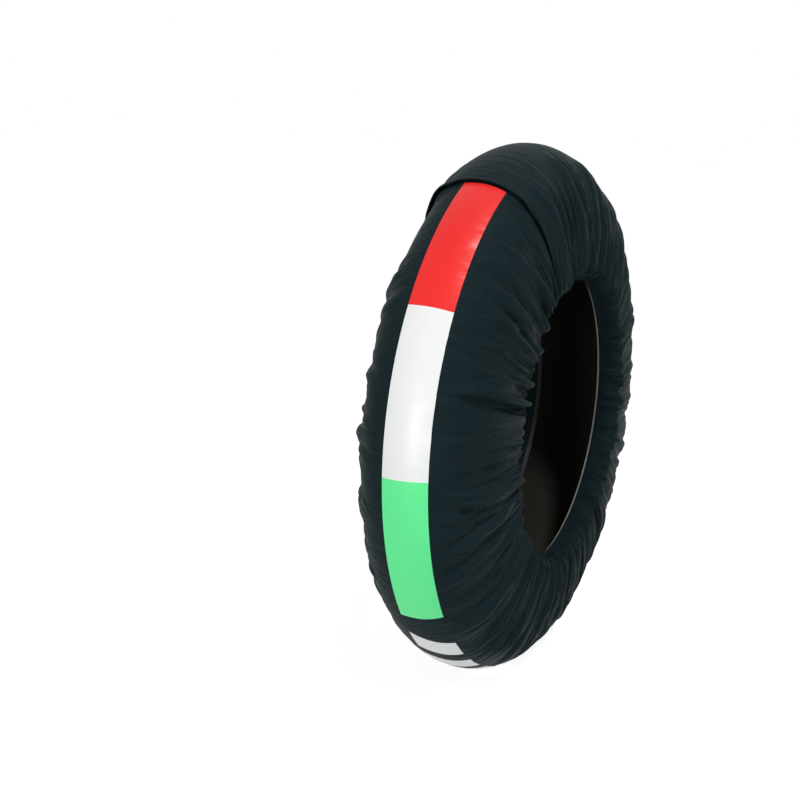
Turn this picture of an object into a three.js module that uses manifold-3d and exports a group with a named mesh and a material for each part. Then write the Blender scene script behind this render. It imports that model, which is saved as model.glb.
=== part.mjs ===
// Front motorcycle tyre warmer: a padded strip of heated cloth wound once round a 17-inch tyre.
// Its outer end laps over its inner end at the upper front and is held there by hook-and-loop tape.
// Elastic in both hems gathers the side skirts in towards the wheel.
// Millimetres, +Z up. The ring's axis is +Y, its front is +X, and it rests on z = 0.
import * as THREE from 'three';
import { mergeVertices } from 'three/addons/utils/BufferGeometryUtils.js';
import Module from 'manifold-3d';

const wasm = await Module();
wasm.setup();

// Tyre that the warmer is made for
const tyreRadius = 300;
const tyreClearance = 0.4;

// Cloth layers, from the outside to the tyre
const coverThickness = 1.3;
const padThickness = 3.8;
const carrierThickness = 0.8;
const wireDiameter = 2.4;
const liningThickness = 1.2;
const clothGap = 0.3;
const wireGap = 0.6;
const seamGap = 1.1;

// Section of the outer cover: a wide crown, flat sides, and a hem that curls in under them
const coverHalfWidth = 73;
const widestRadius = 183;
const coverRoundness = 2.3;
const curlDepth = 15.5;
const curlRise = 11;
const curlAngle = 150;
const flatSpotDepth = 5;

// Stations round the strip, and the corners of its section from the crown (0) to the hem
const stationsPerTurn = 108;
const innerStations = 3;
const hemStations = 2;
const crownAngles = [0, 16, 32, 46];
const padEdgeAngle = 60;
const sideAngle = 75;
const widestAngle = 90;
const outerCurlAngles = [125, 175];
const innerCurlAngles = [165];
const hemAngle = widestAngle + curlAngle;

// Gathers of the side skirts
const gatherHeight = 3;
const gatherCount = 33;
const gatherStartAngle = 34;

// Closure, where the strip's outer end laps over its inner end
const flapEdgeAngle = 61.5;
const overlapAngle = 24;
const flapEaseAngle = 21;
const skirtLift = 0.5;
const tapeThickness = 1.2;
const tapeInsetAngle = 3;

// Butt joint of the padding, heater and lining under the flap
const jointGap = 1.5;

// Heating wire: passes across the crown, out along one half and back along the other
const wireInset = 3;
const wireCentre = 4;
const wireSides = 5;
const wireEndGap = 6;

// Thermal cut-out
const cutoutLength = 14;
const cutoutWidth = 9;
const cutoutHeight = 1.8;
const cutoutStation = 9;

// Internal lead and the grommet where the power cord enters
const leadDiameter = 3.2;
const glandAngle = 68;
const glandFlangeDiameter = 19;
const glandFlangeThickness = 2;
const glandSleeveDiameter = 9;
const glandDepth = 3.2;
const glandFit = 0.3;
const glandChamfer = 0.7;
const glandSides = 20;
const calmArc = 22;
const calmFade = 30;

// Stitched hem cords
const hemCordDiameter = 4;
const hemCordSides = 6;

// Stripe of three colours and the bars that follow it, all thin films on the crown
const filmThickness = 0.5;
const filmGap = 0.25;
const filmJoint = 0.4;
const stripeHalfWidth = 22.5;
const stripeOffset = 10;
const redArc = 164;
const whiteArc = 170;
const greenArc = 170;
const barFirstGap = 62;
const barLength = 34;
const barSlant = 20;
const frontBars = 4;
const backBars = 7;
const standingAngle = -90;
const lastBarAngle = -171;

// Depths below the cover's face, and the sizes that follow from them
const padDepth = coverThickness + clothGap;
const carrierDepth = padDepth + padThickness + clothGap;
const wireDepth = carrierDepth + carrierThickness + wireGap + wireDiameter / 2;
const liningDepth = wireDepth + wireDiameter / 2 + wireGap;
const crownRadius = tyreRadius + tyreClearance + liningThickness + liningDepth;
const wheelHeight = crownRadius - flatSpotDepth;
const tapeLift = clothGap + tapeThickness;
const flapLift = coverThickness + 2 * tapeLift + clothGap;

const stationStep = 360 / stationsPerTurn;
const innerStep = innerStations * stationStep;
const overlapEndAngle = flapEdgeAngle + overlapAngle;
const jointAngle = flapEdgeAngle + overlapAngle / 2;
const leadAngle = flapEdgeAngle + 360 - innerStep;

const { degToRad, radToDeg, lerp, clamp, smoothstep } = THREE.MathUtils;
const arcToAngle = (arc) => radToDeg(arc / crownRadius);

// Half of the cover's section line: a squarish ellipse to the widest point, then the hem's curl.
function coverLine(angle) {
  const side = Math.sign(angle);
  const turn = degToRad(Math.abs(angle));
  if (turn <= Math.PI / 2) {
    const across = coverHalfWidth * Math.sin(turn) ** (2 / coverRoundness);
    const rise = (crownRadius - widestRadius) * Math.cos(turn) ** (2 / coverRoundness);
    return new THREE.Vector2(side * across, widestRadius + (rise || 0));
  }
  const curl = turn - Math.PI / 2;
  const across = coverHalfWidth - curlDepth * (1 - Math.cos(curl));
  return new THREE.Vector2(side * across, widestRadius - curlRise * Math.sin(curl));
}

// A point below the section line, measured along the line's own normal.
function sectionPoint(angle, depth) {
  const along = coverLine(angle + 0.5).sub(coverLine(angle - 0.5)).normalize();
  return coverLine(angle).add(new THREE.Vector2(along.y, -along.x).multiplyScalar(depth));
}

function mirrored(angles) {
  return [...angles.slice(1).map((angle) => -angle).reverse(), ...angles];
}

// A point on the crown's flat facets at a distance across it, so that what lies there fits them.
function crownPoint(across, depth) {
  const corners = mirrored([...crownAngles, padEdgeAngle]).map((angle) => sectionPoint(angle, depth));
  const found = corners.findIndex((corner) => corner.x >= across);
  const next = clamp(found, 1, corners.length - 1);
  const [from, to] = [corners[next - 1], corners[next]];
  return from.clone().lerp(to, (across - from.x) / (to.x - from.x));
}

// Distances across the crown: both ends of a run and each facet corner between them.
function stopsAcross(from, to, depth) {
  const [low, high] = [Math.min(from, to), Math.max(from, to)];
  const corners = mirrored(crownAngles).map((angle) => sectionPoint(angle, depth).x);
  const stops = [low, ...corners.filter((across) => across > low + 1 && across < high - 1), high];
  return from > to ? stops.reverse() : stops;
}

// Places a section point at an angle round the ring, pressed flat where the part stands.
function onRing(point, angle, floorLevel) {
  const turn = degToRad(angle);
  const height = wheelHeight + point.y * Math.sin(turn);
  return new THREE.Vector3(point.y * Math.cos(turn), point.x, Math.max(height, floorLevel));
}

// Angles from one end of a strip to the other, with the shared stations between them.
function stationsBetween(from, to, step) {
  const stations = [from];
  const first = Math.ceil((from - flapEdgeAngle) / step + 0.1);
  for (let k = first; flapEdgeAngle + k * step < to - 0.1 * step; k++) {
    stations.push(flapEdgeAngle + k * step);
  }
  return [...stations, to];
}

// Skins a run of closed outlines and caps both ends. Outlines turn clockwise across the strip.
// Walls that face each other split their facets along the same diagonals.
function skin(rings, startOutline, endOutline, outerCorners = rings[0].length) {
  const count = rings[0].length;
  const last = (rings.length - 1) * count;
  const index = [];
  for (let base = 0; base < last; base += count) {
    for (let i = 0; i < count; i++) {
      const next = (i + 1) % count;
      const [a, b, c, d] = [base + i, base + next, base + count + next, base + count + i];
      index.push(...(i < outerCorners ? [a, b, c, a, c, d] : [a, b, d, b, c, d]));
    }
  }
  for (const [a, b, c] of THREE.ShapeUtils.triangulateShape(startOutline, [])) {
    index.push(a, b, c);
  }
  for (const [a, b, c] of THREE.ShapeUtils.triangulateShape(endOutline, [])) {
    index.push(last + c, last + b, last + a);
  }
  const geometry = new THREE.BufferGeometry();
  const positions = rings.flat().flatMap((corner) => corner.toArray());
  geometry.setAttribute('position', new THREE.Float32BufferAttribute(positions, 3));
  geometry.setIndex(index);
  return geometry;
}

// A strip round the ring. cornersAt gives each section corner's point, floor level and lag.
function strip(stations, cornersAt, outerCorners) {
  const sections = stations.map(cornersAt);
  const rings = sections.map((corners, i) => corners.map(
    ({ point, floorLevel, lag = 0 }) => onRing(point, stations[i] - lag, floorLevel),
  ));
  const outline = (corners) => corners.map(({ point }) => point);
  return skin(rings, outline(sections[0]), outline(sections.at(-1)), outerCorners);
}

// One cloth layer between two depths, with its outer wall first and its inner wall back again.
function layerCorners(outerAngles, innerAngles, outerDepth, innerDepth) {
  const corner = (angle, depth) => (
    { point: sectionPoint(angle, depth), floorLevel: Math.max(depth, 0) }
  );
  return [
    ...mirrored(outerAngles).map((angle) => corner(angle, outerDepth(angle))),
    ...mirrored(innerAngles).reverse().map((angle) => corner(angle, innerDepth(angle))),
  ];
}

// A round wire along a path of points on the cloth, mitred where the path turns.
function wireAlong(path, diameter, sides) {
  const turns = Array.from({ length: sides }, (_, i) => (2 * Math.PI * i) / sides);
  const rings = path.map(({ point, up }, i) => {
    const arriving = point.clone().sub(path[Math.max(i - 1, 0)].point).normalize();
    const leaving = path[Math.min(i + 1, path.length - 1)].point.clone().sub(point).normalize();
    const ahead = arriving.clone().add(leaving).normalize();
    const mitre = 1 / Math.max(ahead.dot(i > 0 ? arriving : leaving), 0.5);
    const side = up.clone().cross(ahead).normalize();
    const rise = ahead.clone().cross(side);
    return turns.map((turn) => point.clone()
      .addScaledVector(side, mitre * (diameter / 2) * Math.cos(turn))
      .addScaledVector(rise, (diameter / 2) * Math.sin(turn)));
  });
  const outline = turns.map((turn) => new THREE.Vector2(Math.sin(turn), Math.cos(turn)));
  return skin(rings, outline, outline);
}

// A solid made from a three.js geometry, ready for cutting.
function solidOf(geometry) {
  const bare = geometry.clone();
  bare.deleteAttribute('normal');
  bare.deleteAttribute('uv');
  const merged = mergeVertices(bare);
  return new wasm.Manifold(new wasm.Mesh({
    numProp: 3,
    vertProperties: merged.attributes.position.array,
    triVerts: new Uint32Array(merged.index.array),
  }));
}

function geometryOf(solid) {
  const mesh = solid.getMesh();
  const geometry = new THREE.BufferGeometry();
  geometry.setAttribute('position', new THREE.BufferAttribute(mesh.vertProperties, 3));
  geometry.setIndex(new THREE.BufferAttribute(mesh.triVerts, 1));
  return geometry;
}

function surface(color, roughness, metalness = 0) {
  return new THREE.MeshStandardMaterial({ color, roughness, metalness });
}

const warmer = new THREE.Group();

function addNode(name, geometry, material) {
  const mesh = new THREE.Mesh(geometry, material);
  mesh.name = name;
  warmer.add(mesh);
}

// How far a gather stands out, from 0 in a valley to 1 on a ridge. It repeats once round the ring.
function gatherWave(angle) {
  const turn = degToRad(angle);
  const drift = 1.7 * Math.sin(2 * turn + 0.4) + 0.9 * Math.sin(5 * turn);
  const even = Math.sin(gatherCount * turn + drift);
  const uneven = Math.sin(Math.round(gatherCount * 0.6) * turn + 1.3 * Math.sin(3 * turn + 1));
  return clamp(0.5 + 0.32 * even + 0.2 * uneven, 0, 1);
}

// The cloth lies flat round the grommet, on the far side only.
function calmAroundGland(ringAngle, sectionAngle) {
  if (sectionAngle > 0) {
    return 1;
  }
  const away = Math.abs(((ringAngle - leadAngle) % 360 + 540) % 360 - 180);
  const arc = degToRad(away) * coverLine(glandAngle).y;
  return smoothstep(arc, calmArc, calmArc + calmFade);
}

// Gathers start past the crown, are fullest at the sides and end at the elastic.
function gatherLift(ringAngle, sectionAngle) {
  const grown = smoothstep(Math.abs(sectionAngle), gatherStartAngle, widestAngle);
  const tightened = 1 - smoothstep(Math.abs(sectionAngle), widestAngle, hemAngle);
  const height = gatherHeight * grown * tightened * calmAroundGland(ringAngle, sectionAngle);
  return height * gatherWave(ringAngle);
}

// The outer end rides over the inner end and its tape, then eases down onto the padding.
function lapLift(stripAngle, sectionAngle) {
  const held = 1 - smoothstep(stripAngle, overlapEndAngle, overlapEndAngle + flapEaseAngle);
  const overSkirt = coverThickness + clothGap + skirtLift;
  const toSkirt = smoothstep(Math.abs(sectionAngle), crownAngles.at(-1), widestAngle);
  return held * lerp(flapLift, overSkirt, toSkirt);
}

function coverLift(stripAngle, sectionAngle) {
  return gatherLift(stripAngle, sectionAngle) + lapLift(stripAngle, sectionAngle);
}

// The grommet's seat on the cover: its place, and the way it faces.
function glandSeat() {
  const at = (depth) => onRing(sectionPoint(-glandAngle, depth), leadAngle, 0);
  const place = at(0);
  const facing = at(-1).sub(place).normalize();
  return { place, facing };
}

// Stands a shape made along +Y on the grommet's seat.
function seatOnGland(geometry) {
  const { place, facing } = glandSeat();
  const turn = new THREE.Quaternion().setFromUnitVectors(new THREE.Vector3(0, 1, 0), facing);
  return geometry.applyQuaternion(turn).translate(...place.toArray());
}

function coverCloth() {
  const sideAngles = [...crownAngles, padEdgeAngle, sideAngle, widestAngle];
  const outerAngles = [...sideAngles, ...outerCurlAngles, hemAngle];
  const innerAngles = [...sideAngles, ...innerCurlAngles, hemAngle];
  const stations = stationsBetween(flapEdgeAngle, overlapEndAngle + 360, stationStep);
  const cloth = strip(stations, (stripAngle) => layerCorners(
    outerAngles, innerAngles,
    (angle) => -coverLift(stripAngle, angle),
    (angle) => coverThickness - coverLift(stripAngle, angle),
  ), mirrored(outerAngles).length);
  const holeRadius = glandSleeveDiameter / 2 + glandFit;
  const hole = new THREE.CylinderGeometry(holeRadius, holeRadius, 6 * coverThickness, glandSides);
  return geometryOf(solidOf(cloth).subtract(solidOf(seatOnGland(hole))));
}

// The padding, heater and lining start and end at a butt joint under the flap.
function innerLayer(angles, outerDepth, innerDepth) {
  const halfGap = arcToAngle(jointGap) / 2;
  const stations = stationsBetween(jointAngle + halfGap, jointAngle + 360 - halfGap, innerStep);
  const corners = layerCorners(angles, angles, outerDepth, innerDepth);
  return strip(stations, () => corners, corners.length / 2);
}

function padding() {
  const angles = [...crownAngles, padEdgeAngle];
  return innerLayer(angles, () => padDepth, () => padDepth + padThickness);
}

function heaterCarrier() {
  return innerLayer(crownAngles, () => carrierDepth, () => carrierDepth + carrierThickness);
}

// The lining leaves the heater past the padding's edge and meets the cover at its widest point.
function liningSetback(angle) {
  const atSeam = coverThickness + seamGap;
  return lerp(liningDepth, atSeam, smoothstep(Math.abs(angle), padEdgeAngle, widestAngle));
}

function lining() {
  const angles = [...crownAngles, padEdgeAngle, sideAngle, widestAngle];
  return innerLayer(angles, liningSetback, (angle) => liningSetback(angle) + liningThickness);
}

// A place in the wire's layer, with the way that the cloth faces there.
function inWireLayer({ stripAngle, across, depth = wireDepth }) {
  const point = onRing(crownPoint(across, depth), stripAngle, depth);
  const outer = onRing(crownPoint(across, depth - 1), stripAngle, depth - 1);
  return { point, up: outer.sub(point).normalize() };
}

function wirePass(stripAngle, from, to) {
  return stopsAcross(from, to, wireDepth).map((across) => ({ stripAngle, across }));
}

// The wire zigzags round one half of the crown and comes back along the other half.
function heatingWire() {
  const edge = sectionPoint(crownAngles.at(-1), wireDepth).x - wireInset;
  const pitch = 2 * innerStep;
  const passPairs = Math.floor(((leadAngle - jointAngle - innerStep) / pitch - 1) / 2);
  const passes = 2 * passPairs + 1;
  const out = [];
  let across = edge;
  for (let k = 1; k <= passes; k++) {
    const stripAngle = leadAngle - k * pitch;
    const next = across === edge ? wireCentre : edge;
    out.push({ stripAngle: stripAngle + innerStep, across }, ...wirePass(stripAngle, across, next));
    across = next;
  }
  const crossing = wirePass(out.at(-1).stripAngle, across, -across).slice(1, -1);
  const back = out.map((stop) => ({ ...stop, across: -stop.across })).reverse();
  const route = [
    ...wirePass(leadAngle, -leadStartAcross(), edge),
    ...out,
    ...crossing,
    ...back,
    { stripAngle: leadAngle - arcToAngle(wireEndGap), across: -edge },
  ];
  return wireAlong(route.map(inWireLayer), wireDiameter, wireSides);
}

function cutout() {
  const stripAngle = leadAngle - cutoutStation * innerStep;
  const halfAngle = arcToAngle(cutoutLength) / 2;
  const low = liningDepth - clothGap;
  const high = low - cutoutHeight;
  const middle = sectionPoint(crownAngles[1], low).x / 2;
  const [left, right] = [middle - cutoutWidth / 2, middle + cutoutWidth / 2];
  const corners = [[left, high], [right, high], [right, low], [left, low]].map(
    ([across, depth]) => ({ point: crownPoint(across, depth), floorLevel: depth }),
  );
  return strip([stripAngle - halfAngle, stripAngle + halfAngle], () => corners);
}

// The lead starts where the wire leaves the carrier's edge.
function leadStartAcross() {
  return sectionPoint(crownAngles.at(-1), wireDepth).x + 2 * wireGap;
}

// The internal lead runs down inside the far skirt and turns out into the grommet.
function internalLead() {
  const leadDepth = (padDepth + padThickness + liningDepth) / 2;
  const { place, facing } = glandSeat();
  const inside = (angle, depth) => onRing(sectionPoint(-angle, depth), leadAngle, 0);
  const start = onRing(crownPoint(-leadStartAcross() - 2.5 * wireGap, leadDepth), leadAngle, 0);
  const points = [
    start,
    inside(padEdgeAngle, leadDepth),
    inside(lerp(padEdgeAngle, glandAngle, 0.6), lerp(leadDepth, glandDepth, 0.4)),
    place.clone().addScaledVector(facing, -glandDepth - leadDiameter / 2 - glandFit),
    place.clone().addScaledVector(facing, leadDiameter / 2 - glandDepth),
  ];
  const ringAxis = new THREE.Vector3(-Math.sin(degToRad(leadAngle)), 0, Math.cos(degToRad(leadAngle)));
  return wireAlong(points.map((point) => ({ point, up: ringAxis })), leadDiameter, 8);
}

function leadGland() {
  const boreRadius = leadDiameter / 2 + glandFit;
  const sleeveRadius = glandSleeveDiameter / 2;
  const flangeRadius = glandFlangeDiameter / 2;
  const flangeTop = clothGap + glandFlangeThickness;
  const profile = [
    [boreRadius, -glandDepth], [sleeveRadius, -glandDepth], [sleeveRadius, clothGap],
    [flangeRadius, clothGap], [flangeRadius, flangeTop - glandChamfer],
    [flangeRadius - glandChamfer, flangeTop],
    [boreRadius, flangeTop], [boreRadius, -glandDepth],
  ].map(([radius, height]) => new THREE.Vector2(radius, height));
  return seatOnGland(new THREE.LatheGeometry(profile, glandSides));
}

// A cord sewn along the cover's edge, from the flap once round to where the inner end tucks under.
function hemCord(side) {
  const lastStation = flapEdgeAngle + 360 - stationStep;
  const stations = stationsBetween(flapEdgeAngle, lastStation, hemStations * stationStep);
  const turns = Array.from({ length: hemCordSides }, (_, i) => (-2 * Math.PI * i) / hemCordSides);
  return strip(stations, (stripAngle) => {
    const middle = coverThickness / 2 - coverLift(stripAngle, hemAngle);
    const edge = sectionPoint(side * hemAngle, middle);
    const beyond = edge.clone().sub(sectionPoint(side * (hemAngle - 1), middle)).normalize();
    const centre = edge.addScaledVector(beyond, clothGap + hemCordDiameter / 2);
    return turns.map((turn) => {
      const spoke = new THREE.Vector2(Math.cos(turn), Math.sin(turn));
      return { point: centre.clone().addScaledVector(spoke, hemCordDiameter / 2), floorLevel: 0 };
    });
  });
}

// Hook tape under the flap and loop tape on the inner end, face to face.
function tape(innerLift) {
  const from = flapEdgeAngle + tapeInsetAngle;
  const to = overlapEndAngle - tapeInsetAngle;
  const angles = crownAngles.slice(0, -1);
  const corners = layerCorners(angles, angles, () => -innerLift - tapeThickness, () => -innerLift);
  return strip(stationsBetween(from, to, stationStep), () => corners, corners.length / 2);
}

// A thin coloured film on the crown, between two ring angles, with its ends slanted if asked.
function film(fromAngle, toAngle, slantAngle) {
  const [left, right] = [stripeOffset - stripeHalfWidth, stripeOffset + stripeHalfWidth];
  const corner = (across, depth) => ({
    point: crownPoint(across, depth),
    floorLevel: 0,
    lag: slantAngle * (across - stripeOffset) / (right - left),
  });
  const corners = [
    ...stopsAcross(left, right, 0).map((across) => corner(across, -filmGap - filmThickness)),
    ...stopsAcross(right, left, 0).map((across) => corner(across, -filmGap)),
  ];
  return strip(stationsBetween(fromAngle, toAngle, stationStep), () => corners, corners.length / 2);
}

// Red, white and green follow each other down from the flap's edge.
function stripeNodes() {
  const joint = arcToAngle(filmJoint);
  const colours = [
    ['stripe_red', redArc, 0xf5403f],
    ['stripe_white', whiteArc, 0xf3f5f4],
    ['stripe_green', greenArc, 0x56f791],
  ];
  let start = flapEdgeAngle;
  for (const [name, arc, colour] of colours) {
    const end = start - arcToAngle(arc);
    addNode(name, film(end + joint, start - joint, 0), surface(colour, 0.35));
    start = end;
  }
  return start;
}

// Plain slanted bars go on round the crown, except where the part stands on it.
function barNodes(stripeEnd) {
  const white = surface(0xe9ecea, 0.4);
  const length = arcToAngle(barLength);
  const slant = arcToAngle(barSlant);
  const standing = radToDeg(Math.acos(wheelHeight / crownRadius)) + (length + slant) / 2;
  const spread = (from, to, count) => Array.from(
    { length: count }, (_, i) => lerp(from, to, i / (count - 1)),
  );
  const middles = [
    ...spread(stripeEnd - arcToAngle(barFirstGap), standingAngle + standing, frontBars),
    ...spread(standingAngle - standing, lastBarAngle, backBars),
  ];
  middles.forEach((middle, i) => {
    addNode(`crown_bar_${i + 1}`, film(middle - length / 2, middle + length / 2, slant), white);
  });
}

const black = surface(0x23292c, 0.72);
const darkLining = surface(0x24241f, 0.85);
const rubber = surface(0x17181a, 0.75);

addNode('outer_cover', coverCloth(), black);
addNode('insulation_pad', padding(), surface(0xb9b4a6, 0.95));
addNode('heater_carrier', heaterCarrier(), surface(0xd8d2bd, 0.9));
addNode('heating_wire', heatingWire(), surface(0x9c3a2c, 0.5));
addNode('thermal_cutout', cutout(), surface(0xb9bcc0, 0.35, 0.9));
addNode('inner_lining', lining(), darkLining);
addNode('internal_lead', internalLead(), rubber);
addNode('lead_gland', leadGland(), rubber);
addNode('near_hem_cord', hemCord(1), surface(0x5d605f, 0.6));
addNode('far_hem_cord', hemCord(-1), surface(0x5d605f, 0.6));
addNode('loop_tape', tape(clothGap), surface(0x15171a, 0.95));
addNode('hook_tape', tape(clothGap + tapeLift), surface(0x1d1f22, 0.8));
barNodes(stripeNodes());

export default warmer;
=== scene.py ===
import math

import bpy
import numpy as np
from mathutils import Matrix, Vector


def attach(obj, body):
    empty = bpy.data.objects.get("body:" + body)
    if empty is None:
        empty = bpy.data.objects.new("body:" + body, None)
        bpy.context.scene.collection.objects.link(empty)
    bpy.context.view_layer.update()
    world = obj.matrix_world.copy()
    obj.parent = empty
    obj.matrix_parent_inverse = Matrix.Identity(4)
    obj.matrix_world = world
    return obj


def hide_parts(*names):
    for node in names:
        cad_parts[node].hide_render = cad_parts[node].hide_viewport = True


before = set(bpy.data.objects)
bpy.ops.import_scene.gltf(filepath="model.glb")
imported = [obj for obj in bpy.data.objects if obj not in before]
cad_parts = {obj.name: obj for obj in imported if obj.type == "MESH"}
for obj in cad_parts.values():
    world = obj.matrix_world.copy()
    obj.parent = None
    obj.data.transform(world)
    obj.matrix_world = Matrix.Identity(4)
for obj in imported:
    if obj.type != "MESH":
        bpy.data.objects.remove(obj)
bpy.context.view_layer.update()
bpy.ops.object.select_all(action="DESELECT")
print("frame loaded:", len(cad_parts), "CAD nodes")

# the ring, in metres and degrees; 0 degrees is the striped front, 90 is the top
ring = {
    "crownRadius": 0.3117, "standHeight": 0.3067, "halfWidth": 0.073, "widestRadius": 0.183,
    "roundness": 2.3, "curlDepth": 0.0155, "curlRise": 0.011, "hemAngle": 240.0,
    "flapEdge": 61.5, "overlap": 24.0, "flapEase": 21.0, "flapLift": 0.0046, "skirtLift": 0.0021,
    "liftFrom": 46.0, "thickness": 0.0013,
}

# folds of the side skirts, coarse first, each with its own seed; lengths in metres, places in degrees
folds = {
    "large": {
        "perSide": 70, "seed": 4, "depth": (0.0010, 0.0029), "width": (1.2, 2.6),
        "reach": (20.0, 80.0), "slant": 5.0, "bend": 2.0,
    },
    "middle": {
        "perSide": 170, "seed": 11, "depth": (0.0008, 0.0024), "width": (0.7, 1.4),
        "reach": (12.0, 62.0), "slant": 6.0, "bend": 1.6,
    },
    "fine": {
        "perSide": 340, "seed": 23, "depth": (0.0003, 0.0011), "width": (0.3, 0.65),
        "reach": (10.0, 74.0), "slant": 7.0, "bend": 1.2,
    },
}
skirt = {
    "base": 0.0014, "baseFrom": 12.0, "envelope": 20.0, "hemFrom": 135.0, "hemTo": 232.0,
    "overPad": 0.0001, "pastPad": 0.0015, "padEdge": 61.0, "padEase": 14.0, "baseEase": 24.0,
    "front": 1.25, "back": 0.72,
}

# how one fold is shaped, in shares of its width, and how the random draws fall
foldForm = {
    "valley": 0.9, "aside": 1.45, "sharp": 0.55, "steep": 1.5, "run": 200.0, "waves": 5.0,
    "widthAtHem": 0.8, "widthGain": 0.7, "jitter": 0.4, "fewDeep": (1.3, 2.0), "fewLong": (1.2, 1.6),
    "widthFromDepth": 0.65,
}

# deep pockets by the hem at the upper front, and a slack fold across the lower front
pockets = [
    {"strip": 43.0, "section": 88.0, "long": 30.0, "wide": 3.4, "deep": 0.0042, "lean": 0.16},
    {"strip": 34.0, "section": 90.0, "long": 24.0, "wide": 3.0, "deep": 0.0040, "lean": 0.20},
    {"strip": 26.0, "section": 86.0, "long": 22.0, "wide": 2.6, "deep": 0.0030, "lean": 0.10},
    {"strip": 52.0, "section": 84.0, "long": 26.0, "wide": 2.6, "deep": 0.0030, "lean": 0.12},
    {"strip": 14.0, "section": 56.0, "long": 26.0, "wide": 1.3, "deep": 0.0030, "lean": 0.0},
    {"strip": 22.0, "section": 52.0, "long": 22.0, "wide": 1.2, "deep": 0.0026, "lean": -0.03},
    {"strip": 6.0, "section": 84.0, "long": 26.0, "wide": 2.4, "deep": 0.0024, "lean": 0.05},
    {"strip": -24.0, "section": 88.0, "long": 24.0, "wide": 2.4, "deep": 0.0024, "lean": -0.10},
    {"strip": 176.0, "section": 84.0, "long": 22.0, "wide": 2.6, "deep": 0.0034, "lean": 0.06},
    {"strip": 201.0, "section": 80.0, "long": 20.0, "wide": 2.4, "deep": 0.0030, "lean": -0.08},
]
smile = {
    "strip": -9.0, "section": 82.0, "span": 44.0, "hang": 6.0, "above": 5.0, "below": 0.45, "deep": 0.0046,
}

# the cloth lies flat round the grommet of the lead
gland = {"strip": 411.5, "section": 68.0, "calm": 0.022, "fade": 0.030}


def smooth(value, low, high):
    t = np.clip((value - low) / (high - low), 0, 1)
    return t * t * (3 - 2 * t)


def sectionLine(angle):
    turn = np.radians(np.abs(angle))
    power = 2 / ring["roundness"]
    rise = ring["crownRadius"] - ring["widestRadius"]
    crownTurn = np.minimum(turn, np.pi / 2)
    across = ring["halfWidth"] * np.sin(crownTurn) ** power
    radius = ring["widestRadius"] + rise * np.maximum(np.cos(crownTurn), 0) ** power
    curl = np.maximum(turn - np.pi / 2, 0)
    across = across - ring["curlDepth"] * (1 - np.cos(curl))
    radius = radius - ring["curlRise"] * np.sin(curl)
    return np.sign(angle) * across, radius


def sectionNormal(angle):
    step = 0.4
    acrossA, radiusA = sectionLine(angle - step)
    acrossB, radiusB = sectionLine(angle + step)
    alongAcross, alongRadius = acrossB - acrossA, radiusB - radiusA
    length = np.hypot(alongAcross, alongRadius)
    return -alongRadius / length, alongAcross / length


# a point of the cloth: strip angle round the ring, section angle, and how far it stands out
def clothPoint(strip, section, lift, floor=0.0):
    across, radius = sectionLine(section)
    outAcross, outRadius = sectionNormal(section)
    across, radius = across + outAcross * lift, radius + outRadius * lift
    turn = np.radians(strip)
    height = np.maximum(ring["standHeight"] + radius * np.sin(turn), floor)
    return np.stack(np.broadcast_arrays(radius * np.cos(turn), across, height), axis=-1)


def lapLift(strip, section):
    end = ring["flapEdge"] + ring["overlap"]
    held = 1 - smooth(strip, end, end + ring["flapEase"])
    toSkirt = smooth(np.abs(section), ring["liftFrom"], 90)
    return held * (ring["flapLift"] + (ring["skirtLift"] - ring["flapLift"]) * toSkirt)


# every fold has its own place, reach, depth, width, slant and bend, the same on each run
def makeFolds(kind, side):
    random = np.random.default_rng(kind["seed"] + side)
    count = kind["perSide"]
    place = (np.arange(count) + random.uniform(-foldForm["jitter"], foldForm["jitter"], count)) * 360 / count
    strength = random.beta(*foldForm["fewDeep"], count)
    low, high = kind["reach"]
    reach = low + (high - low) * random.beta(*foldForm["fewLong"], count)
    depth = np.interp(strength, [0, 1], kind["depth"])
    share = foldForm["widthFromDepth"]
    width = np.interp(share * strength + (1 - share) * random.random(count), [0, 1], kind["width"])
    slant = random.normal(0, kind["slant"], count)
    bend = random.normal(0, kind["bend"], count)
    return zip(place, reach, depth, width, slant, bend)


# a ridge with a sharp valley beside it
def foldShape(away, width):
    beside = np.abs((away - foldForm["aside"] * width) / (foldForm["sharp"] * width))
    return np.exp(-(away / width) ** 2) - foldForm["valley"] * np.exp(-beside ** foldForm["steep"])


def foldsLift(kind, side, strip, along):
    lift = np.zeros(np.broadcast(strip, along).shape)
    run = (ring["hemAngle"] - along) / foldForm["run"]
    for place, reach, depth, width, slant, bend in makeFolds(kind, side):
        centre = place + slant * run * run + bend * np.sin(run * foldForm["waves"])
        away = (strip - centre + 180) % 360 - 180
        envelope = smooth(along, reach, reach + skirt["envelope"])
        wide = width * (foldForm["widthAtHem"] + foldForm["widthGain"] * run)
        lift += depth * envelope * foldShape(away, wide)
    return lift


def pocketLift(strip, along):
    lift = 0
    for pocket in pockets:
        behind = along - pocket["section"]
        away = (strip - pocket["strip"] - pocket["lean"] * behind + 180) % 360 - 180
        depth = pocket["deep"] * np.exp(-(behind / pocket["long"]) ** 2)
        lift = lift + depth * foldShape(away, pocket["wide"])
    behind = (along - smile["section"]) / smile["span"]
    lowest = smile["strip"] + smile["hang"] * np.minimum(behind, 0) ** 2
    away = (strip - lowest + 180) % 360 - 180
    slack = np.where(away > 0, away / smile["above"], away / smile["below"])
    return lift + smile["deep"] * np.exp(-behind ** 4 - slack ** 2)


# 0 round the grommet, 1 elsewhere
def calmAroundGland(strip, section):
    away = np.abs((strip - gland["strip"] + 180) % 360 - 180)
    arc = np.radians(away) * sectionLine(gland["section"])[1]
    return np.where(section > 0, 1, smooth(arc, gland["calm"], gland["calm"] + gland["fade"]))


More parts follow.
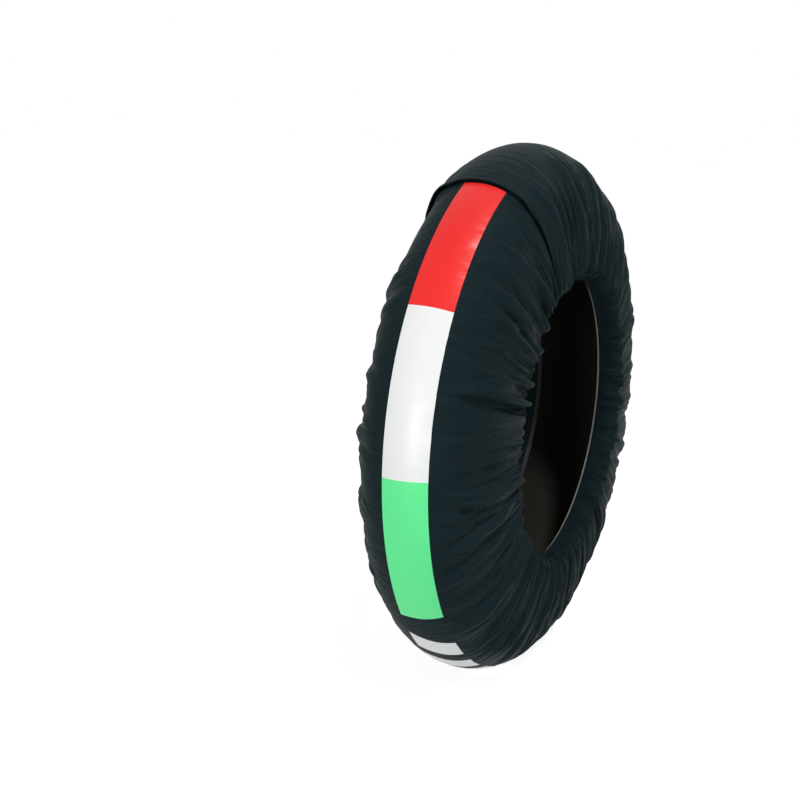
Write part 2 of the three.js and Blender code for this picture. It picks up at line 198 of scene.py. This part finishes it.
# all folds together; a valley sinks no deeper than the layers under it leave room for
def gatherLift(strip, section):
    along = np.abs(section)
    lift = np.zeros(np.broadcast(strip, section).shape)
    for side in (1, -1):
        onSide = sum(foldsLift(kind, side, strip, along) for kind in folds.values())
        if side > 0:
            onSide = onSide + pocketLift(strip, along)
        lift += np.where(section * side > 0, onSide, 0)
    calm = calmAroundGland(strip, section)
    toFront = 0.5 + 0.5 * np.cos(np.radians(strip))
    lift = lift * calm * (skirt["back"] + (skirt["front"] - skirt["back"]) * toFront)
    eased = smooth(along, skirt["baseFrom"], skirt["baseFrom"] + skirt["baseEase"])
    lift = lift + skirt["base"] * eased * calm
    eased = smooth(along, skirt["padEdge"], skirt["padEdge"] + skirt["padEase"])
    room = skirt["overPad"] + skirt["pastPad"] * eased
    return np.maximum(lift, -room) * (1 - smooth(along, skirt["hemFrom"], skirt["hemTo"]))


# a grid of points becomes a sheet of quads, with the cloth's own lengths as its UV map
def sheetFromGrid(name, points, uv):
    rows, columns = points.shape[:2]
    index = np.arange(rows * columns).reshape(rows, columns)
    corners = [index[:-1, :-1], index[:-1, 1:], index[1:, 1:], index[1:, :-1]]
    faces = np.stack(corners, axis=-1).reshape(-1, 4)
    mesh = bpy.data.meshes.new(name)
    mesh.from_pydata(points.reshape(-1, 3).tolist(), [], faces.tolist())
    layer = mesh.uv_layers.new(name="cloth")
    corners = np.empty(len(mesh.loops), dtype=np.int32)
    mesh.loops.foreach_get("vertex_index", corners)
    layer.data.foreach_set("uv", uv.reshape(-1, 2)[corners].astype(np.float32).ravel())
    piece = bpy.data.objects.new(name, mesh)
    bpy.context.collection.objects.link(piece)
    return piece


def selectOnly(piece):
    bpy.ops.object.select_all(action="DESELECT")
    piece.select_set(True)
    bpy.context.view_layer.objects.active = piece


def applyModifier(piece, kind, name, **values):
    modifier = piece.modifiers.new(name, kind)
    for key, value in values.items():
        setattr(modifier, key, value)
    selectOnly(piece)
    bpy.ops.object.modifier_apply(modifier=modifier.name)


def sectionArc(angles):
    across, radius = sectionLine(angles)
    steps = np.hypot(np.diff(across), np.diff(radius))
    arc = np.concatenate([[0], np.cumsum(steps)])
    return arc - np.interp(0, angles, arc)


def clothUv(strip, section):
    u = np.radians(strip) * ring["crownRadius"]
    return np.stack(np.broadcast_arrays(u[:, None], sectionArc(section)[None, :]), axis=-1)


# section angles spaced evenly along the cloth
def evenSection(fromAngle, toAngle, count):
    fine = np.linspace(fromAngle, toAngle, 1200)
    arc = sectionArc(fine)
    return np.interp(np.linspace(arc[0], arc[-1], count), arc, fine)


# materials
def newMaterial(name, **values):
    material = bpy.data.materials.new(name)
    material.use_nodes = True
    shader = material.node_tree.nodes["Principled BSDF"]
    for key, value in values.items():
        shader.inputs[key].default_value = value
    return material, shader


def link(tree, source, target):
    tree.links.new(source, target)


# sockets: {name: (type, default)}
def newGroup(name, inputs, outputs):
    group = bpy.data.node_groups.new(name, "ShaderNodeTree")
    for key, (kind, default) in inputs.items():
        socket = group.interface.new_socket(name=key, in_out="INPUT", socket_type=kind)
        if default is not None:
            socket.default_value = default
    for key, kind in outputs.items():
        group.interface.new_socket(name=key, in_out="OUTPUT", socket_type=kind)
    return group, group.nodes.new("NodeGroupInput"), group.nodes.new("NodeGroupOutput")


def mathNode(tree, operation, first, second=None):
    node = tree.nodes.new("ShaderNodeMath")
    node.operation = operation
    for socket, value in zip(node.inputs, (first, second)):
        if isinstance(value, (int, float)):
            socket.default_value = value
        elif value is not None:
            link(tree, value, socket)
    return node.outputs[0]


# plain weave of fine yarn: two crossed sets of threads, in yarns per metre
def weaveGroup():
    group, given, result = newGroup(
        "plainWeave",
        {"UV": ("NodeSocketVector", None), "Yarns": ("NodeSocketFloat", 1400.0)},
        {"Height": "NodeSocketFloat"},
    )
    split = group.nodes.new("ShaderNodeSeparateXYZ")
    link(group, given.outputs["UV"], split.inputs[0])
    along = mathNode(group, "MULTIPLY", split.outputs[0], given.outputs["Yarns"])
    across = mathNode(group, "MULTIPLY", split.outputs[1], given.outputs["Yarns"])
    warp = mathNode(group, "SINE", mathNode(group, "MULTIPLY", along, math.pi))
    weft = mathNode(group, "SINE", mathNode(group, "MULTIPLY", across, math.pi))
    height = mathNode(group, "ADD", mathNode(group, "ABSOLUTE", warp), mathNode(group, "ABSOLUTE", weft))
    link(group, mathNode(group, "MULTIPLY", height, 0.5), result.inputs["Height"])
    return group


# soft wrinkles drawn out along one way of the cloth
def wrinkleGroup():
    group, given, result = newGroup(
        "drawnWrinkles",
        {
            "UV": ("NodeSocketVector", None), "Stretch": ("NodeSocketVector", (1.0, 1.0, 1.0)),
            "Scale": ("NodeSocketFloat", 60.0), "Detail": ("NodeSocketFloat", 3.0),
        },
        {"Height": "NodeSocketFloat"},
    )
    stretch = group.nodes.new("ShaderNodeVectorMath")
    stretch.operation = "MULTIPLY"
    link(group, given.outputs["UV"], stretch.inputs[0])
    link(group, given.outputs["Stretch"], stretch.inputs[1])
    noise = group.nodes.new("ShaderNodeTexNoise")
    link(group, stretch.outputs[0], noise.inputs["Vector"])
    link(group, given.outputs["Scale"], noise.inputs["Scale"])
    link(group, given.outputs["Detail"], noise.inputs["Detail"])
    noise.inputs["Roughness"].default_value = 0.55
    link(group, noise.outputs["Fac"], result.inputs["Height"])
    return group


# a faint drift of the colour over a piece
def driftGroup():
    group, given, result = newGroup(
        "colourDrift",
        {
            "Vector": ("NodeSocketVector", None), "Scale": ("NodeSocketFloat", 14.0),
            "Low": ("NodeSocketColor", (0.02, 0.02, 0.02, 1)),
            "High": ("NodeSocketColor", (0.03, 0.03, 0.03, 1)),
        },
        {"Color": "NodeSocketColor", "Mask": "NodeSocketFloat"},
    )
    noise = group.nodes.new("ShaderNodeTexNoise")
    noise.inputs["Detail"].default_value = 4
    link(group, given.outputs["Vector"], noise.inputs["Vector"])
    link(group, given.outputs["Scale"], noise.inputs["Scale"])
    mix = group.nodes.new("ShaderNodeMix")
    mix.data_type = "RGBA"
    link(group, noise.outputs["Fac"], mix.inputs["Factor"])
    link(group, given.outputs["Low"], mix.inputs[6])
    link(group, given.outputs["High"], mix.inputs[7])
    link(group, mix.outputs[2], result.inputs["Color"])
    link(group, noise.outputs["Fac"], result.inputs["Mask"])
    return group


groups = {"weave": weaveGroup(), "wrinkle": wrinkleGroup(), "drift": driftGroup()}


def placeGroup(tree, group, **values):
    node = tree.nodes.new("ShaderNodeGroup")
    node.node_tree = groups[group]
    for key, value in values.items():
        if hasattr(value, "is_linked"):
            link(tree, value, node.inputs[key])
        else:
            node.inputs[key].default_value = value
    return node


def placeBump(tree, shader, heights):
    normal = None
    for height, strength, distance in heights:
        bump = tree.nodes.new("ShaderNodeBump")
        bump.inputs["Strength"].default_value = strength
        bump.inputs["Distance"].default_value = distance
        link(tree, height, bump.inputs["Height"])
        if normal is not None:
            link(tree, normal, bump.inputs["Normal"])
        normal = bump.outputs["Normal"]
    link(tree, normal, shader.inputs["Normal"])


def uvSocket(tree):
    return tree.nodes.new("ShaderNodeTexCoord").outputs["UV"]


def objectSocket(tree):
    return tree.nodes.new("ShaderNodeTexCoord").outputs["Object"]


clothFinish = {
    "specular": 0.03, "sheenRoughness": 0.45, "driftScale": 16.0,
    "wrinkleScale": 120.0, "wrinkleStrength": 0.9, "weaveStrength": 0.25, "weaveDepth": 0.0002,
}


def clothMaterial(
    name, low, high, roughness, sheen, yarns=1400.0, wrinkle=(1.0, 0.16, 1.0), wrinkleDepth=0.0034,
):
    material, shader = newMaterial(name, **{
        "Roughness": roughness, "Sheen Weight": sheen, "Sheen Roughness": clothFinish["sheenRoughness"],
        "Specular IOR Level": clothFinish["specular"],
    })
    tree = material.node_tree
    uv = uvSocket(tree)
    drift = placeGroup(tree, "drift", Vector=uv, Scale=clothFinish["driftScale"], Low=low, High=high)
    link(tree, drift.outputs["Color"], shader.inputs["Base Color"])
    weave = placeGroup(tree, "weave", UV=uv, Yarns=yarns)
    wrinkles = placeGroup(
        tree, "wrinkle", UV=uv, Stretch=wrinkle, Scale=clothFinish["wrinkleScale"], Detail=4.0,
    )
    placeBump(tree, shader, [
        (wrinkles.outputs["Height"], clothFinish["wrinkleStrength"], wrinkleDepth),
        (weave.outputs["Height"], clothFinish["weaveStrength"], clothFinish["weaveDepth"]),
    ])
    return material


filmFinish = {
    "Roughness": 0.36, "Specular IOR Level": 0.28, "Coat Weight": 0.05, "Coat Roughness": 0.25,
}


def filmMaterial(name, low, high):
    material, shader = newMaterial(name, **filmFinish)
    tree = material.node_tree
    uv = uvSocket(tree)
    drift = placeGroup(tree, "drift", Vector=uv, Scale=9.0, Low=low, High=high)
    link(tree, drift.outputs["Color"], shader.inputs["Base Color"])
    weave = placeGroup(tree, "weave", UV=uv, Yarns=900.0)
    wrinkles = placeGroup(tree, "wrinkle", UV=uv, Stretch=(1.0, 0.45, 1.0), Scale=70.0, Detail=3.0)
    placeBump(tree, shader, [
        (wrinkles.outputs["Height"], 0.5, 0.0014),
        (weave.outputs["Height"], 0.1, 0.0001),
    ])
    return material


def plainMaterial(name, low, high, roughness, grainScale=900.0, grainDepth=0.0001, metallic=0.0):
    material, shader = newMaterial(name, Roughness=roughness, Metallic=metallic)
    tree = material.node_tree
    place = objectSocket(tree)
    drift = placeGroup(tree, "drift", Vector=place, Scale=40.0, Low=low, High=high)
    link(tree, drift.outputs["Color"], shader.inputs["Base Color"])
    grain = placeGroup(tree, "wrinkle", UV=place, Scale=grainScale, Detail=2.0)
    placeBump(tree, shader, [(grain.outputs["Height"], 0.4, grainDepth)])
    return material


materials = {
    "nylon": clothMaterial(
        "coverNylon", (0.0060, 0.0140, 0.0165, 1), (0.0120, 0.0235, 0.0275, 1), 0.5, 0.0,
    ),
    "lining": clothMaterial(
        "aramidLining", (0.026, 0.028, 0.025, 1), (0.046, 0.047, 0.036, 1), 0.8, 0.1,
        yarns=900.0, wrinkle=(1.0, 0.08, 1.0), wrinkleDepth=0.0007,
    ),
    # one hem binding in two copies: the near cord is painted light grey for its bright lit line, and the far
    # cord is painted dark as painted shade
    "hem": clothMaterial("hemCordPaintedLight", (0.42, 0.43, 0.41, 1), (0.60, 0.61, 0.58, 1), 0.5, 0.2, yarns=1600.0),
    "farHemPaintedShade": clothMaterial(
        "farHemCordPaintedShade", (0.05, 0.052, 0.05, 1), (0.09, 0.092, 0.088, 1), 0.6, 0.1, yarns=1600.0,
    ),
    "red": filmMaterial("redFilm", (0.86, 0.016, 0.014, 1), (0.92, 0.032, 0.028, 1)),
    "white": filmMaterial("whiteFilm", (0.86, 0.88, 0.87, 1), (0.91, 0.92, 0.915, 1)),
    "green": filmMaterial("greenFilm", (0.10, 0.90, 0.29, 1), (0.16, 0.94, 0.36, 1)),
    "wadding": plainMaterial("wadding", (0.60, 0.58, 0.52, 1), (0.75, 0.73, 0.67, 1), 0.95),
    "carrier": plainMaterial("carrierCloth", (0.70, 0.66, 0.55, 1), (0.82, 0.78, 0.68, 1), 0.9),
    "wire": plainMaterial("wireSleeve", (0.45, 0.11, 0.07, 1), (0.58, 0.17, 0.11, 1), 0.55),
    "metal": plainMaterial("cutoutCase", (0.60, 0.61, 0.62, 1), (0.72, 0.73, 0.74, 1), 0.35, metallic=0.9),
    "rubber": plainMaterial("grommetRubber", (0.014, 0.014, 0.015, 1), (0.026, 0.026, 0.028, 1), 0.6),
    "hook": plainMaterial(
        "hookTape", (0.016, 0.017, 0.018, 1), (0.03, 0.031, 0.033, 1), 0.75, grainScale=2600.0,
    ),
    "loop": plainMaterial(
        "loopPile", (0.010, 0.011, 0.012, 1), (0.024, 0.025, 0.027, 1), 0.95, grainScale=1800.0,
    ),
}
print("materials ready:", len(materials))


def finishPiece(piece, material, slotName, *nodes):
    piece.data.materials.clear()
    piece.data.materials.append(materials[material])
    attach(piece, "root")
    if nodes:
        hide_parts(*nodes)


# outer cover
coverGrid = {"columns": 1500, "rows": 110, "smoothAngle": 50.0, "fill": 0.7}


def makeCover():
    strip = np.linspace(ring["flapEdge"], ring["flapEdge"] + 360 + ring["overlap"], coverGrid["columns"])
    section = evenSection(-ring["hemAngle"], ring["hemAngle"], coverGrid["rows"])
    grid = (strip[:, None], section[None, :])
    lift = lapLift(*grid) + gatherLift(*grid)
    piece = sheetFromGrid("coverCloth", clothPoint(*grid, lift), clothUv(strip, section))
    applyModifier(piece, "SOLIDIFY", "clothWall", thickness=ring["thickness"], offset=-1.0, use_rim=True)
    selectOnly(piece)
    bpy.ops.object.shade_smooth_by_angle(angle=math.radians(coverGrid["smoothAngle"]))
    finishPiece(piece, "nylon", "cover_nylon", "outer_cover")
    return piece


cover = makeCover()
print("cover made:", len(cover.data.polygons), "faces")

# lining
liningSize = {
    "depth": 0.0119, "seamDepth": 0.0030, "wall": 0.0008, "columns": 420, "rows": 44, "joint": 73.5,
    "jointGap": 0.15, "easeFrom": 60.0, "edge": 90.0, "ripple": 0.0005, "ripples": 96,
}


def makeLining():
    joint, gap, edge = liningSize["joint"], liningSize["jointGap"], liningSize["edge"]
    strip = np.linspace(joint + gap, joint + 360 - gap, liningSize["columns"])
    section = evenSection(-edge, edge, liningSize["rows"])
    ease = smooth(np.abs(section), liningSize["easeFrom"], edge)
    depth = liningSize["depth"] + (liningSize["seamDepth"] - liningSize["depth"]) * ease
    waves = liningSize["ripple"] * np.sin(np.radians(strip) * liningSize["ripples"])
    ripple = waves[:, None] * (1 - ease)[None, :]
    points = clothPoint(strip[:, None], section[None, :], ripple - depth[None, :], floor=liningSize["depth"])
    piece = sheetFromGrid("liningCloth", points, clothUv(strip, section))
    applyModifier(piece, "SOLIDIFY", "liningWall", thickness=liningSize["wall"], offset=-1.0, use_rim=True)
    selectOnly(piece)
    bpy.ops.object.shade_smooth_by_angle(angle=math.radians(60))
    finishPiece(piece, "lining", "aramid_lining", "inner_lining")
    return piece


lining = makeLining()
print("lining made")

# hem cords: a folded binding that shows two bright edges; the near cord is painted light grey as the lit
# copy and the far cord is painted near black as painted shade
hemSize = {
    "lobe": 0.0012, "spread": 0.0018, "waist": 0.25, "gap": 0.0003, "columns": 720, "sides": 18,
    "girth": 0.008,
}


def makeHem(name, side, node, material):
    strip = np.linspace(ring["flapEdge"], ring["flapEdge"] + 359, hemSize["columns"])
    edge = np.full_like(strip, side * ring["hemAngle"])
    lift = lapLift(strip, edge) + gatherLift(strip, edge) - ring["thickness"] / 2
    across, radius = sectionLine(edge)
    outAcross, outRadius = sectionNormal(edge)
    beyondAcross, beyondRadius = side * outRadius, -side * outAcross
    reach = hemSize["gap"] + hemSize["lobe"] + hemSize["spread"]
    turnRing = np.radians(strip)
    waist = hemSize["waist"]
    rings = []
    for turn in np.linspace(0, 2 * np.pi, hemSize["sides"] + 1):
        spread = hemSize["spread"] * np.cos(turn)
        thick = hemSize["lobe"] * np.sin(turn) * (waist + (1 - waist) * abs(np.cos(turn)))
        along = reach + spread + hemSize["lobe"] * np.cos(turn)
        newAcross = across + outAcross * (lift + thick) + beyondAcross * along
        newRadius = radius + outRadius * (lift + thick) + beyondRadius * along
        height = ring["standHeight"] + newRadius * np.sin(turnRing)
        rings.append(np.stack([newRadius * np.cos(turnRing), newAcross, height], axis=-1))
    points = np.stack(rings[::side], axis=1)
    around = np.linspace(0, hemSize["girth"], hemSize["sides"] + 1)
    u = np.radians(strip)[:, None] * ring["crownRadius"]
    uv = np.stack(np.broadcast_arrays(u, around[None, :]), axis=-1)
    piece = sheetFromGrid(name, points, uv)
    selectOnly(piece)
    bpy.ops.object.mode_set(mode="EDIT")
    bpy.ops.mesh.select_all(action="SELECT")
    bpy.ops.mesh.remove_doubles(threshold=1e-6)
    bpy.ops.mesh.select_all(action="DESELECT")
    bpy.ops.mesh.select_non_manifold()
    bpy.ops.mesh.edge_face_add()
    bpy.ops.mesh.select_all(action="SELECT")
    bpy.ops.mesh.normals_make_consistent(inside=False)
    bpy.ops.object.mode_set(mode="OBJECT")
    bpy.ops.object.shade_smooth_by_angle(angle=math.radians(60))
    finishPiece(piece, material, "hem_cord", node)
    return piece


# the near cord takes the painted light grey, the far cord the painted shade
makeHem("nearHem", 1, "near_hem_cord", "hem")
makeHem("farHemPaintedShade", -1, "far_hem_cord", "farHemPaintedShade")
print("hems made")

# stripe and bars, thin films that follow the crown
stripe = {
    "offset": 0.010, "halfWidth": 0.0225, "lift": 0.0002, "thickness": 0.00035,
    "red": 0.164, "white": 0.170, "green": 0.170, "firstGap": 0.062, "length": 0.034, "slant": 0.020,
    "standing": -90.0, "lastBar": -171.0, "frontBars": 4, "backBars": 7, "flapGap": 0.3,
    "rows": 15, "columnsPerDegree": 3,
}


def arcDegrees(arc):
    return math.degrees(arc / ring["crownRadius"])


def crownSection(across):
    power = ring["roundness"] / 2
    share = np.abs(across) / ring["halfWidth"]
    return np.sign(across) * np.degrees(np.arcsin(share ** power))


def makeFilm(name, fromAngle, toAngle, material, slotName, node, slantArc=0.0):
    rows = stripe["rows"]
    columns = max(8, int((toAngle - fromAngle) * stripe["columnsPerDegree"]))
    offset, half = stripe["offset"], stripe["halfWidth"]
    across = np.linspace(offset - half, offset + half, rows)
    lean = arcDegrees(slantArc) * np.linspace(-0.5, 0.5, rows)
    strip = np.linspace(fromAngle, toAngle, columns)[:, None] - lean[None, :]
    section = crownSection(across)
    lift = stripe["lift"] + stripe["thickness"] + gatherLift(strip, section[None, :])
    points = clothPoint(strip, section[None, :] + 0 * strip, lift)
    u = np.radians(strip) * ring["crownRadius"]
    uv = np.stack(np.broadcast_arrays(u, across[None, :]), axis=-1)
    piece = sheetFromGrid(name, points, uv)
    applyModifier(piece, "SOLIDIFY", "filmWall", thickness=stripe["thickness"], offset=-1.0, use_rim=True)
    selectOnly(piece)
    bpy.ops.object.shade_smooth_by_angle(angle=math.radians(40))
    finishPiece(piece, material, slotName, node)
    return piece


def makeStripe():
    start = ring["flapEdge"] - stripe["flapGap"]
    for colour in ("red", "white", "green"):
        end = start - arcDegrees(stripe[colour])
        makeFilm(colour + "Stripe", end, start, colour, "film_" + colour, "stripe_" + colour)
        start = end
    return start


def makeBars(stripeEnd):
    length, slant = arcDegrees(stripe["length"]), arcDegrees(stripe["slant"])
    standing = math.degrees(math.acos(ring["standHeight"] / ring["crownRadius"])) + (length + slant) / 2
    first = stripeEnd - arcDegrees(stripe["firstGap"])
    middles = [
        *np.linspace(first, stripe["standing"] + standing, stripe["frontBars"]),
        *np.linspace(stripe["standing"] - standing, stripe["lastBar"], stripe["backBars"]),
    ]
    for number, middle in enumerate(middles, 1):
        makeFilm(
            f"crownBar{number}", middle - length / 2, middle + length / 2, "white", "film_white",
            f"crown_bar_{number}", slantArc=stripe["slant"],
        )
    return len(middles)


print("bars made:", makeBars(makeStripe()))

# CAD nodes that stay, with their own finishes
keptNodes = {
    "insulation_pad": "wadding", "heater_carrier": "carrier", "heating_wire": "wire",
    "thermal_cutout": "metal", "internal_lead": "rubber", "lead_gland": "rubber",
    "loop_tape": "loop", "hook_tape": "hook",
}
for node, material in keptNodes.items():
    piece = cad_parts[node]
    piece.data.materials.clear()
    piece.data.materials.append(materials[material])
print("kept nodes finished:", len(keptNodes))

# camera
shot = {
    "azimuth": 111.7, "elevation": 14.3, "roll": 3.0, "distance": 1.289, "focalPixels": 1058.0,
    "imagePixels": 800.0, "ringPixel": (518.0, 410.0),
}


def makeCamera():
    azimuth, elevation, roll = (math.radians(shot[key]) for key in ("azimuth", "elevation", "roll"))
    level = math.cos(elevation)
    back = Vector((math.sin(azimuth) * level, -math.cos(azimuth) * level, math.sin(elevation)))
    sideways = Vector((math.cos(azimuth), math.sin(azimuth), 0))
    upright = back.cross(sideways)
    right = sideways * math.cos(roll) + upright * math.sin(roll)
    up = upright * math.cos(roll) - sideways * math.sin(roll)
    data = bpy.data.cameras.new("camera")
    data.sensor_width = 36
    data.lens = data.sensor_width * shot["focalPixels"] / shot["imagePixels"]
    middle = shot["imagePixels"] / 2
    data.shift_x = (middle - shot["ringPixel"][0]) / shot["imagePixels"]
    data.shift_y = (shot["ringPixel"][1] - middle) / shot["imagePixels"]
    camera = bpy.data.objects.new("camera", data)
    bpy.context.collection.objects.link(camera)
    turn = Matrix((right, up, back)).transposed().to_4x4()
    place = Vector((0, 0, ring["standHeight"])) + back * shot["distance"]
    camera.matrix_world = Matrix.Translation(place) @ turn
    bpy.context.scene.camera = camera


makeCamera()

# floor, backdrop and lamps
studio = {
    "floorSize": 60.0, "floorDrop": 0.0005, "floorColour": (0.55, 0.55, 0.55, 1), "floorGlow": 0.86,
    "worldStrength": 0.22, "lampTarget": (0, 0, 0.3),
}
lamps = {
    "keyLamp": {"place": (2.1, 0.2, 0.42), "size": 0.8, "power": 18},
    "sideLamp": {"place": (0.5, 1.0, 2.3), "size": 0.4, "power": 23},
}


# 1 for rays from the camera, a mirror or a clear piece, and 0 for the light on the object
def seenRays(tree):
    path = tree.nodes.new("ShaderNodeLightPath")
    mirrored = mathNode(tree, "MAXIMUM", path.outputs["Is Glossy Ray"], path.outputs["Is Transmission Ray"])
    return mathNode(tree, "MAXIMUM", path.outputs["Is Camera Ray"], mirrored)


def makeStudio():
    bpy.ops.object.select_all(action="DESELECT")
    bpy.ops.mesh.primitive_plane_add(size=studio["floorSize"], location=(0, 0, -studio["floorDrop"]))
    floor = bpy.context.object
    floor.name = "floor"
    material, shader = newMaterial("floorPaper", Roughness=0.9)
    shader.inputs["Base Color"].default_value = studio["floorColour"]
    shader.inputs["Specular IOR Level"].default_value = 0.1
    shader.inputs["Emission Color"].default_value = (1, 1, 1, 1)
    tree = material.node_tree
    glow = mathNode(tree, "MULTIPLY", seenRays(tree), studio["floorGlow"])
    link(tree, glow, shader.inputs["Emission Strength"])
    floor.data.materials.append(material)
    world = bpy.data.worlds.new("studio")
    bpy.context.scene.world = world
    world.use_nodes = True
    tree = world.node_tree
    background = tree.nodes["Background"]
    background.inputs["Color"].default_value = (1, 1, 1, 1)
    extra = mathNode(tree, "MULTIPLY", seenRays(tree), 1 - studio["worldStrength"])
    link(tree, mathNode(tree, "ADD", extra, studio["worldStrength"]), background.inputs["Strength"])


def makeLamp(name, place, size, power):
    data = bpy.data.lights.new(name, "AREA")
    data.shape = "DISK"
    data.size = size
    data.energy = power
    lamp = bpy.data.objects.new(name, data)
    bpy.context.collection.objects.link(lamp)
    lamp.location = place
    aim = Vector(studio["lampTarget"]) - Vector(place)
    lamp.rotation_euler = aim.to_track_quat("-Z", "Y").to_euler()


makeStudio()
for lampName, values in lamps.items():
    makeLamp(lampName, **values)
bpy.context.scene.view_settings.view_transform = "Standard"
print("studio ready")
